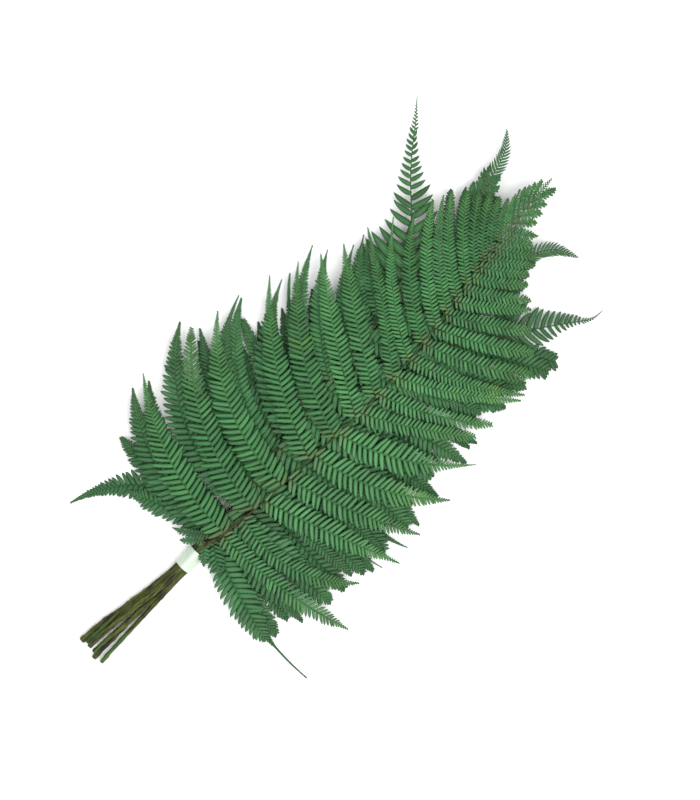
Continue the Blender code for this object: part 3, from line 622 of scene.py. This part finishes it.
def leaf_tip(bag, spec, path, draw, look):
    """The end of the frond, where the pinnae get short: by rule along the rachis."""
    start, first_pitch, last_pitch, lean, left, right = spec["tip"]
    last = spec["rachis"][-1][0]
    line = evenly([(x, through(path, x)) for x in np.linspace(start, last, 300)], 121)
    size = length_of(line)
    marks = (0.0, 0.25, 0.5, 0.75, 1.0)
    run, stations = 0.0, []
    while run < size - 1.5:
        stations.append(run)
        run += first_pitch + (last_pitch - first_pitch) * (run / size) ** 0.8
    for side, table in ((1, left), (-1, right)):
        costae = []
        for run in stations:
            t = (run + (first_pitch * 0.3 if side == 1 else 0.0)) / size
            root, way = on_line(line, np.array((t,)))
            reach = float(np.interp(t, marks, table)) * draw.uniform(0.94, 1.06)
            tilt = math.radians(lean - 4.0 * t + draw.uniform(-2, 2))
            long = reach / math.sin(tilt)
            heading = way[0] + side * tilt
            end = root[0] + long * np.array((math.cos(heading), math.sin(heading)))
            costae.append((t, root[0], end, long))
        lines = [bowed(root, end, 0.04, side) for _, root, end, _ in costae]
        simple = []
        for i, costa in enumerate(costae):
            if look["toothed"] and costa[3] > 13.0:
                pinna(bag, spec["level"], lines[i], side, neighbours(lines, i), -0.5, draw, look)
            else:
                simple.append(costa)
        if simple:
            t, root, end, _ = (np.array(column) for column in zip(*simple))
            pitch = first_pitch + (last_pitch - first_pitch) * t**0.8
            wide = pitch * math.sin(math.radians(lean)) * look["end"]
            lay_leaflets(bag, spec["level"], root, end, side, wide, draw, look)


# Stalks

def stalk_rows(spec, path, stem_r):
    """Points and radii of the bare stem, its place in the tie, and the rachis."""
    ty, tz = tie_place(spec["place"])
    ex, ey, ez = spec["end"]
    half = TIE_LENGTH / 2.0
    rows = []
    for t in np.linspace(0.0, 1.0, 43):
        bend = t * t * (3.0 - 2.0 * t) * 0.5 + t * 0.5
        rows.append((ex + (-half - 4 - ex) * t, ey + (ty - ey) * bend, ez + (tz - ez) * bend,
                     stem_r + (STEM_R - stem_r) * t**3))
    for x in np.linspace(-half - 2.0, half + 2.0, 11):
        rows.append((x, ty, tz, STEM_R))
    y_end = path[0][1]
    z_end = float(layer_z(LAYERED_X, y_end, spec["level"]))
    for t in np.linspace(0.04, 1.0, 16):
        e = float(smooth(t))
        rows.append((half + 2.0 + (LAYERED_X - half - 2.0) * t, ty + (y_end - ty) * e,
                     tz + (z_end - tz) * e, STEM_R + (ROOT_R - STEM_R) * t))
    last = spec["rachis"][-1][0]
    for x in np.linspace(LAYERED_X + 2.5, last, 130):
        y = through(path, x)
        t = (x - LAYERED_X) / (last - LAYERED_X)
        early = float(smooth((x - LAYERED_X) / 24.0))
        drop = early * (0.5 + RACHIS_R * 0.5 + RACHIS_SUNK)
        radius = (ROOT_R + (RACHIS_R - ROOT_R) * early) * (1 - t) ** 0.55
        rows.append((x, y, float(layer_z(x, y, spec["level"])) - drop,
                     radius + 0.28 * min(1.0, t * 3)))
    return np.array(rows)


def cut_face(bag, line, radius):
    """The stem's cut end, slightly dished, with a pale pith."""
    way = line[1] - line[0]
    way /= np.linalg.norm(way)
    across = np.cross((0.0, 0.0, 1.0), way)
    across /= np.linalg.norm(across)
    above = np.cross(way, across)
    a = np.arange(STALK_SIDES) * 2.0 * math.pi / STALK_SIDES
    circle = np.cos(a)[:, None] * across + np.sin(a)[:, None] * above
    rings = [line[0] + circle * share * radius - way * back
             for share, back in ((0.98, 0.12), (0.9, 0.28), (0.55, 0.2), (0.15, 0.16))]
    spots = np.concatenate([rings[0] + way * 0.8] + rings)
    tints = np.zeros((1, len(spots), 4))
    tints[:, :, 0] = 1.0
    tints[:, :, 1] = np.repeat((0.3, 0.3, 0.75, 0.95, 1.0), STALK_SIDES)[None]
    faces, is_smooth = tube_faces(5, STALK_SIDES)
    flipped = [tuple(reversed(face)) for face in faces]
    bag.add(spots[None], np.zeros((len(spots), 2)), tints, flipped, is_smooth, STALK)


def stalk(bag, spec, path, draw, look):
    """Stem and rachis in one rod, from the cut end to the frond's tip."""
    rows = stalk_rows(spec, path, look["stem_r"])
    n, x = len(rows), rows[:, 0]
    cut_x, last = spec["end"][0], spec["rachis"][-1][0]
    half = TIE_LENGTH / 2.0
    rng = np.random.default_rng(draw.randrange(1 << 30))
    # knobs where old pinnae were shed, and a slow wander of the bare stem
    bare = smooth((-half - x) / 12.0)
    knobs = np.zeros(n)
    for spot in np.arange(cut_x + 6, -half - 8, 11.0):
        spot += rng.uniform(-4, 4)
        knobs += 0.22 * rng.uniform(0.3, 1.2) * np.exp(-(((x - spot) / 2.0) ** 2))
    wander = np.cumsum(rng.normal(0, 0.16, n)) * bare
    wander -= np.linspace(wander[0], 0, n) * bare
    radius = rows[:, 3] * (1.0 + knobs + rng.normal(0, 0.012, n) * (rows[:, 3] > 1.2))
    line = rows[:, :3].copy()
    line[:, 1] += np.clip(wander, -0.6, 0.6)
    green_end = 1.0 - smooth((x - cut_x - 18 - 10 * rng.random()) / 30.0)
    far = smooth((x - LAYERED_X) / (last - LAYERED_X) * 1.1 - 0.1)
    leafy = smooth((x - 60.0) / 50.0)
    brown = 1.0 - 0.55 * green_end * look["dyed"] - 0.45 * smooth((x - 55.0) / 50.0) - 0.3 * far
    tint = np.zeros((n, 4))
    tint[:, 0] = np.clip(brown, 0, 1)
    tint[:, 1] = np.clip(0.5 + rng.normal(0, 0.02, n), 0, 1)
    tint[:, 2] = smooth((x - 20.0) / 30.0) * (1.0 - 0.6 * leafy)
    # painted shade: darker where the rachis runs among and under the leaves, and with the frond's
    # depth
    tint[:, 3] = np.maximum(look["shade"] * smooth((x - 10.0) / 40.0), 0.5 * leafy)
    tube(bag, line, radius, STALK_SIDES, tint, ridges=0.035)
    cut_face(bag, line, radius[0])


# Fronds

def pinna_look(look, level, x, size):
    """Short pinnae by the tape get more painted shade and are narrower, and the lowest
    fronds are closed.
    """
    if size < 50.0 and x < 50.0:
        return dict(look, shade=max(look["shade"], 0.6), fill=look["fill"] - 0.20, broad=0.26)
    if level < 2 and x > 100.0:
        return dict(look, fill=1.05)
    return look


def build_frond(name, spec, look, materials):
    draw = random.Random(name + " leaves")
    level, path = spec["level"], rachis_path(spec)
    bag = Bag()
    stalk(bag, spec, path, draw, look)
    for side, key in ((1, "left"), (-1, "right")):
        lines, thins = [], []
        for x, tip_x, tip_y, *shape in spec[key]:
            bow = spec["bow"] * draw.uniform(0.85, 1.15) * (1.0 if side == 1 else 0.35)
            bow, thin = shape if shape else (bow, 0.2)
            lines.append(bowed((x, stalk_y(spec, path, x)), (tip_x, tip_y), bow, side))
            thins.append(thin)
        for i, line in enumerate(lines):
            own = pinna_look(look, level, spec[key][i][0], length_of(line))
            pinna(bag, level, line, side, neighbours(lines, i), thins[i], draw, own)
        if "leaf_" + key in spec:
            single_leaflets(bag, level, path, spec["leaf_" + key], side, draw, look)
    leaf_tip(bag, spec, path, draw, look)
    return bag.piece(name + "_leaves", materials)


# Tape

def hull_outline(grow, steps=10):
    """Outline round the three corner stems of the pile, grown by a distance, evenly spaced."""
    first = STEM_R + TIE_GAP + TIE_WALL
    top = first + STEM_PITCH * math.sqrt(3.0)
    points = []
    for y, z, middle in ((-STEM_PITCH, first, 210), (STEM_PITCH, first, 330), (0.0, top, 90)):
        for k in range(steps + 1):
            a = math.radians(middle - 60 + 120 * k / steps)
            points.append((y + grow * math.cos(a), z + grow * math.sin(a)))
    return evenly(points + points[:1], TAPE_AROUND + 1)[:-1]


def build_tape(material):
    """The tape's windings: each turn lies a little off the one under it, and it creases."""
    rng = np.random.default_rng(7)
    inner = hull_outline(STEM_R + TIE_GAP + 0.02)
    outer = hull_outline(STEM_R + TIE_GAP + TIE_WALL)
    out = outer - inner
    out /= np.linalg.norm(out, axis=1)[:, None]
    s = np.arange(TAPE_AROUND) / TAPE_AROUND
    thick = 0.02 + 0.22 * ((s - TAPE_SEAM) % 1.0)
    creases = [(rng.uniform(-0.6, 0.6), rng.random(), rng.uniform(0.04, 0.13))
               for _ in range(TAPE_CREASES)]
    x = np.linspace(-TIE_LENGTH / 2.0, TIE_LENGTH / 2.0, TAPE_ALONG)
    rows = []
    for px, u in zip(x, np.arange(TAPE_ALONG) / (TAPE_ALONG - 1)):
        folds = np.zeros(TAPE_AROUND)
        for tilt, where, deep in creases:
            gap = ((s - where - tilt * (u - 0.5) * 0.12 + 0.5) % 1.0) - 0.5
            folds += deep * np.exp(-((gap / 0.012) ** 2))
        edge = 0.12 * np.exp(-((u / 0.05) ** 2)) + 0.12 * np.exp(-(((1 - u) / 0.05) ** 2))
        ring = outer + out * (thick + folds - edge)[:, None]
        skew = 0.4 * np.sin(2 * math.pi * (s + 0.1)) * (u - 0.5)
        rows.append(np.column_stack((px + skew, ring[:, 0], ring[:, 1])))
    for px in x[::-1][[0, TAPE_ALONG // 2, TAPE_ALONG - 1]]:
        rows.append(np.column_stack((np.full(TAPE_AROUND, px * 0.985), inner[:, 0], inner[:, 1])))
    spots = np.array(rows)
    count = len(rows)
    spots[:, :, 2] = np.maximum(spots[:, :, 2], 0.0)
    faces = []
    for r in range(count):
        for c in range(TAPE_AROUND):
            d, q = (c + 1) % TAPE_AROUND, (r + 1) % count
            faces.append((r * TAPE_AROUND + c, r * TAPE_AROUND + d,
                          q * TAPE_AROUND + d, q * TAPE_AROUND + c))
    mesh = bpy.data.meshes.new("tape")
    mesh.from_pydata((spots.reshape(-1, 3) * MM).tolist(), [], faces)
    mesh.polygons.foreach_set("use_smooth", [True] * len(faces))
    mesh.materials.append(material)
    mesh.update()
    made = bpy.data.objects.new("tape", mesh)
    bpy.context.scene.collection.objects.link(made)
    return made


# Materials: colours are linear, and two together are the dark and the light of one surface

LEAF_DARK, LEAF_LIGHT = (0.006, 0.050, 0.013), (0.062, 0.236, 0.073)
LEAF_YELLOWISH, LEAF_AGED = (0.105, 0.235, 0.038), (0.215, 0.150, 0.030)
LEAF_RIB, LEAF_ROOT, LEAF_SPOT = (0.150, 0.330, 0.120), (0.10, 0.065, 0.035), (0.13, 0.10, 0.04)
# LEAF_SHADED is painted shade for leaves that lie under others; LEAF_UNDERSIDE is a leaflet's
# paler back
LEAF_SHADED, LEAF_UNDERSIDE = (0.012, 0.060, 0.022), (0.095, 0.225, 0.115)
STEM_GREEN = ((0.010, 0.062, 0.016), (0.050, 0.170, 0.048))
STEM_OLIVE = ((0.012, 0.010, 0.006), (0.095, 0.118, 0.016))
STEM_RUSTY = ((0.022, 0.012, 0.007), (0.098, 0.048, 0.022))
STEM_STAIN, STEM_PITH = (0.018, 0.011, 0.009), (0.330, 0.270, 0.120)
STEM_SHADED = (0.015, 0.030, 0.012)
TAPE_WHITE, TAPE_DUST = ((0.44, 0.56, 0.44), (0.64, 0.74, 0.63)), (0.42, 0.48, 0.37)


class Nodes:
    """A material's node tree, written as a list of calls."""

    def __init__(self, name):
        self.material = bpy.data.materials.new(name)
        self.material.use_nodes = True
        self.tree = self.material.node_tree
        self.shader = self.tree.nodes["Principled BSDF"]

    def add(self, kind, **settings):
        node = self.tree.nodes.new(kind)
        for key, value in settings.items():
            setattr(node, key, value)
        return node

    def link(self, a, b):
        self.tree.links.new(a, b)

    def fill(self, socket, value):
        if hasattr(value, "is_linked"):
            self.link(value, socket)
        elif isinstance(value, tuple):
            socket.default_value = (*value, 1.0)
        else:
            socket.default_value = value

    def math(self, kind, a, b=0.0, clamp=False):
        node = self.add("ShaderNodeMath", operation=kind, use_clamp=clamp)
        self.fill(node.inputs[0], a)
        self.fill(node.inputs[1], b)
        return node.outputs[0]

    def mix(self, share, a, b):
        node = self.add("ShaderNodeMix", data_type="RGBA")
        self.fill(node.inputs[0], share)
        self.fill(node.inputs[6], a)
        self.fill(node.inputs[7], b)
        return node.outputs[2]

    def range(self, value, a, b, c=0.0, d=1.0, smoothly=False):
        node = self.add("ShaderNodeMapRange")
        if smoothly:
            node.interpolation_type = "SMOOTHSTEP"
        for k, one in enumerate((value, a, b, c, d)):
            self.fill(node.inputs[k], one)
        return node.outputs[0]

    def noise(self, vector, scale, detail=3.0, rough=0.55):
        node = self.add("ShaderNodeTexNoise")
        self.link(vector, node.inputs["Vector"])
        node.inputs["Scale"].default_value = scale
        node.inputs["Detail"].default_value = detail
        node.inputs["Roughness"].default_value = rough
        return node.outputs["Fac"]

    def place(self, stretch=None):
        where = self.add("ShaderNodeTexCoord").outputs["Object"]
        if stretch is None:
            return where
        node = self.add("ShaderNodeMapping")
        node.inputs["Scale"].default_value = stretch
        self.link(where, node.inputs["Vector"])
        return node.outputs["Vector"]

    def bump(self, height, distance, strength):
        node = self.add("ShaderNodeBump")
        node.inputs["Strength"].default_value = strength
        node.inputs["Distance"].default_value = distance
        self.link(height, node.inputs["Height"])
        self.link(node.outputs[0], self.shader.inputs["Normal"])


def leaf_material():
    m = Nodes("fern_leaf")
    where = m.place()
    tint = m.add("ShaderNodeAttribute", attribute_name="tint")
    parts = m.add("ShaderNodeSeparateColor")
    m.link(tint.outputs["Color"], parts.inputs[0])
    brown, tone, warm = parts.outputs[0], parts.outputs[1], parts.outputs[2]
    shade = tint.outputs["Alpha"]
    uv = m.add("ShaderNodeUVMap", uv_map="leaf")
    xy = m.add("ShaderNodeSeparateXYZ")
    m.link(uv.outputs[0], xy.inputs[0])
    off = m.math("ABSOLUTE", m.math("SUBTRACT", xy.outputs[0], 0.5))
    rib = m.range(off, 0.035, 0.10, 1.0, 0.0, True)
    veins = m.math("SINE", m.math("ADD", m.math("MULTIPLY", xy.outputs[1], 56.0),
                                  m.math("MULTIPLY", off, -22.0)))
    blotch = m.noise(where, 55.0, 4.0)
    fine = m.noise(where, 700.0, 3.0)
    level = m.math("ADD", tone, m.math("MULTIPLY", m.math("SUBTRACT", blotch, 0.5), 0.9))
    level = m.math("ADD", level, m.math("MULTIPLY", m.math("SUBTRACT", fine, 0.5), 0.35))
    level = m.math("ADD", level, m.math("MULTIPLY", veins, 0.035), clamp=True)
    colour = m.mix(level, LEAF_DARK, LEAF_LIGHT)
    colour = m.mix(m.range(warm, 0.0, 0.5, 0.0, 0.6), colour, LEAF_YELLOWISH)
    colour = m.mix(m.range(warm, 0.5, 1.0, 0.0, 0.9), colour, LEAF_AGED)
    colour = m.mix(m.math("MULTIPLY", rib, 0.30), colour, LEAF_RIB)
    colour = m.mix(m.math("MULTIPLY", brown, 0.8), colour, LEAF_ROOT)
    spots = m.range(m.noise(where, 160.0, 2.0), 0.70, 0.78)
    colour = m.mix(m.math("MULTIPLY", spots, 0.35), colour, LEAF_SPOT)
    # painted shade: the tint's alpha darkens the leaves towards LEAF_SHADED, as if in the shadow
    # of the fronds above
    colour = m.mix(m.math("MULTIPLY", shade, 0.7), colour, LEAF_SHADED)
    up = m.add("ShaderNodeSeparateXYZ")
    m.link(m.add("ShaderNodeNewGeometry").outputs["Normal"], up.inputs[0])
    under = m.range(up.outputs[2], -0.5, -0.1, 1.0, 0.0)
    colour = m.mix(m.math("MULTIPLY", under, 0.5), colour, LEAF_UNDERSIDE)
    m.link(colour, m.shader.inputs["Base Color"])
    m.link(m.range(fine, 0.3, 0.7, 0.38, 0.56), m.shader.inputs["Roughness"])
    m.shader.inputs["Specular IOR Level"].default_value = 0.27
    m.shader.inputs["Sheen Weight"].default_value = 0.04
    height = m.math("ADD", m.math("MULTIPLY", fine, 0.6), m.math("MULTIPLY", veins, 0.22))
    m.bump(height, 0.00022, 0.55)
    return m.material


def stalk_material():
    m = Nodes("fern_stalk")
    where = m.place()
    long = m.place((0.16, 1.0, 1.0))
    tint = m.add("ShaderNodeAttribute", attribute_name="tint")
    parts = m.add("ShaderNodeSeparateColor")
    m.link(tint.outputs["Color"], parts.inputs[0])
    brown, tone, red = parts.outputs[0], parts.outputs[1], parts.outputs[2]
    shade = tint.outputs["Alpha"]
    streak = m.noise(long, 520.0, 4.0, 0.6)
    patch = m.noise(long, 150.0, 3.0)
    fine = m.noise(where, 1500.0, 2.0)
    green = m.mix(streak, *STEM_GREEN)
    olive = m.mix(m.range(streak, 0.35, 0.65), *STEM_OLIVE)
    colour = m.mix(m.range(m.math("ADD", brown, m.math("SUBTRACT", patch, 0.5)), 0.25, 0.75),
                   green, olive)
    rusty = m.mix(streak, *STEM_RUSTY)
    colour = m.mix(m.math("MULTIPLY", red, brown), colour, rusty)
    dark = m.range(patch, 0.53, 0.62)
    colour = m.mix(m.math("MULTIPLY", dark, 0.85), colour, STEM_STAIN)
    light = m.range(tone, 0.7, 0.95)
    colour = m.mix(light, colour, STEM_PITH)
    # painted shade for the stalk, from the tint's alpha
    colour = m.mix(m.math("MULTIPLY", shade, 0.5), colour, STEM_SHADED)
    m.link(colour, m.shader.inputs["Base Color"])
    m.link(m.range(streak, 0.3, 0.7, 0.42, 0.65), m.shader.inputs["Roughness"])
    m.shader.inputs["Specular IOR Level"].default_value = 0.15
    height = m.math("ADD", streak, m.math("MULTIPLY", fine, 0.25))
    m.bump(height, 0.0004, 0.8)
    return m.material


def tape_material():
    m = Nodes("white_tape")
    where = m.place()
    wide = m.place((0.5, 1.0, 1.0))
    crumple = m.noise(wide, 160.0, 5.0, 0.6)
    fine = m.noise(where, 2200.0, 2.0)
    colour = m.mix(crumple, *TAPE_WHITE)
    dust = m.range(m.noise(where, 420.0, 3.0), 0.62, 0.74)
    colour = m.mix(m.math("MULTIPLY", dust, 0.25), colour, TAPE_DUST)
    m.link(colour, m.shader.inputs["Base Color"])
    m.link(m.range(crumple, 0.3, 0.7, 0.34, 0.52), m.shader.inputs["Roughness"])
    m.shader.inputs["Subsurface Weight"].default_value = 0.05
    m.shader.inputs["Subsurface Scale"].default_value = 0.001
    height = m.math("ADD", crumple, m.math("MULTIPLY", fine, 0.08))
    m.bump(height, 0.0006, 0.7)
    return m.material


def floor_material():
    m = Nodes("floor")
    m.shader.inputs["Base Color"].default_value = (0.93, 0.93, 0.93, 1.0)
    m.shader.inputs["Roughness"].default_value = 0.9
    m.shader.inputs["Specular IOR Level"].default_value = 0.1
    return m.material


# Camera, floor and lights: metres

CAMERA_PLACE = (0.20605, -0.0053, 2.0322)
CAMERA_TURN = -46.32      # degrees, as the bunch lies in the photo
FLOOR_HALF = 6.0
FLOOR_Z = -0.0002
AIM = (0.2, 0.0, 0.0)


def add_camera():
    data = bpy.data.cameras.new("camera")
    data.lens = 100.0
    data.sensor_fit = "VERTICAL"
    data.sensor_width = data.sensor_height = 36.0
    data.clip_end = 50.0
    camera = bpy.data.objects.new("camera", data)
    camera.location = CAMERA_PLACE
    camera.rotation_euler = (0.0, 0.0, math.radians(CAMERA_TURN))
    bpy.context.scene.collection.objects.link(camera)
    bpy.context.scene.camera = camera


def add_light(name, place, size, power):
    data = bpy.data.lights.new(name, "AREA")
    data.shape = "SQUARE"
    data.size = size
    data.energy = power
    light = bpy.data.objects.new(name, data)
    light.location = place
    light.rotation_mode = "QUATERNION"
    light.rotation_quaternion = (Vector(AIM) - Vector(place)).to_track_quat("-Z", "Y")
    bpy.context.scene.collection.objects.link(light)


def add_floor():
    mesh = bpy.data.meshes.new("floor")
    r = FLOOR_HALF
    mesh.from_pydata([(-r, -r, 0), (r, -r, 0), (r, r, 0), (-r, r, 0)], [], [(0, 1, 2, 3)])
    mesh.materials.append(floor_material())
    floor = bpy.data.objects.new("floor", mesh)
    floor.location = (0.0, 0.0, FLOOR_Z)
    bpy.context.scene.collection.objects.link(floor)


def add_world():
    bpy.context.scene.view_settings.view_transform = "Standard"
    world = bpy.data.worlds.new("studio")
    world.use_nodes = True
    background = world.node_tree.nodes["Background"]
    background.inputs["Color"].default_value = (1.0, 1.0, 1.0, 1.0)
    background.inputs["Strength"].default_value = 0.90
    bpy.context.scene.world = world


def main():
    add_camera()
    add_world()
    add_floor()
    add_light("key", (0.35, -1.6, 2.0), 2.0, 54.0)
    add_light("fill", (-1.2, 1.0, 2.2), 1.8, 20.0)
    leaf, stem, tape_look = leaf_material(), stalk_material(), tape_material()
    for name, spec in FRONDS.items():
        piece = build_frond(name, spec, LOOKS[name], (leaf, stem))
        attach(piece, "root")
        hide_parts(name)
    tape = build_tape(tape_look)
    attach(tape, "root")
    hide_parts("tie_band")


main()
